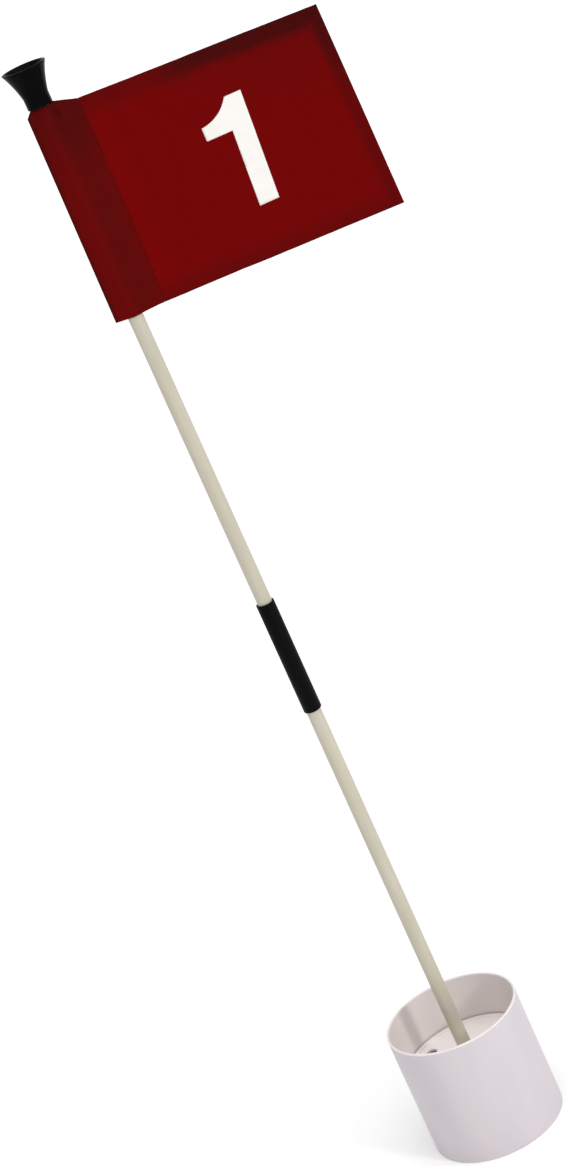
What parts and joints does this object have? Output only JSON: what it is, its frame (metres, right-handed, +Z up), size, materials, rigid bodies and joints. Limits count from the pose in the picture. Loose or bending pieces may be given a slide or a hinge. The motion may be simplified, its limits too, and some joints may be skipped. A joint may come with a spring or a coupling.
{
  "type": "golf flagstick",
  "caption": "Two-section practice flagstick with a cloth flag and a ball pick-up bell, standing in a round hole cup.",
  "frame": {"origin": "on the stick's axis at the level of the hole cup's bottom edge", "axes": "+Z up along the stick, +X the way the flag flies, the flag's numbered faces look along -Y and +Y"},
  "size_m": [0.262, 0.108, 0.9065],
  "materials": {
    "white_plastic": "satin",
    "bush_plastic": "satin",
    "fibreglass": "semi-gloss",
    "black_plastic": "satin",
    "black_rubber": "satin",
    "red_cloth": "woven",
    "red_thread": "thread",
    "white_print": "matt"
  },
  "bodies": {
    "cup": {"cup_wall": "white_plastic", "cup_floor": "white_plastic", "socket_bush": "bush_plastic"},
    "lower_section": {"lower_rod": "fibreglass", "foot_plug": "black_plastic", "coupler_sleeve": "black_plastic"},
    "upper_section": {"upper_rod": "fibreglass", "upper_rod_plug": "black_plastic", "pickup_bell": "black_rubber", "flag_stop_ring": "black_rubber"},
    "flag": {"flag_panel": "red_cloth", "flag_pocket": "red_cloth", "top_hem": "red_cloth", "bottom_hem": "red_cloth", "fly_hem": "red_cloth", "pocket_tacks": "red_thread", "pocket_stitching": "red_thread", "hem_stitching": "red_thread", "number_front": "white_print", "number_back": "white_print"}
  },
  "joints": [
    {"name": "stick_lift", "type": "slide", "parent": "cup", "child": "lower_section", "axis": [0, 0, 1], "range_m": [0, 0.13]},
    {"name": "upper_section_pull", "type": "slide", "parent": "lower_section", "child": "upper_section", "axis": [0, 0, 1], "range_m": [0, 0.08]},
    {"name": "flag_swing", "type": "hinge", "parent": "upper_section", "child": "flag", "pos_m": [0, 0, 0.8], "axis": [0, 0, 1], "continuous": true}
  ]
}
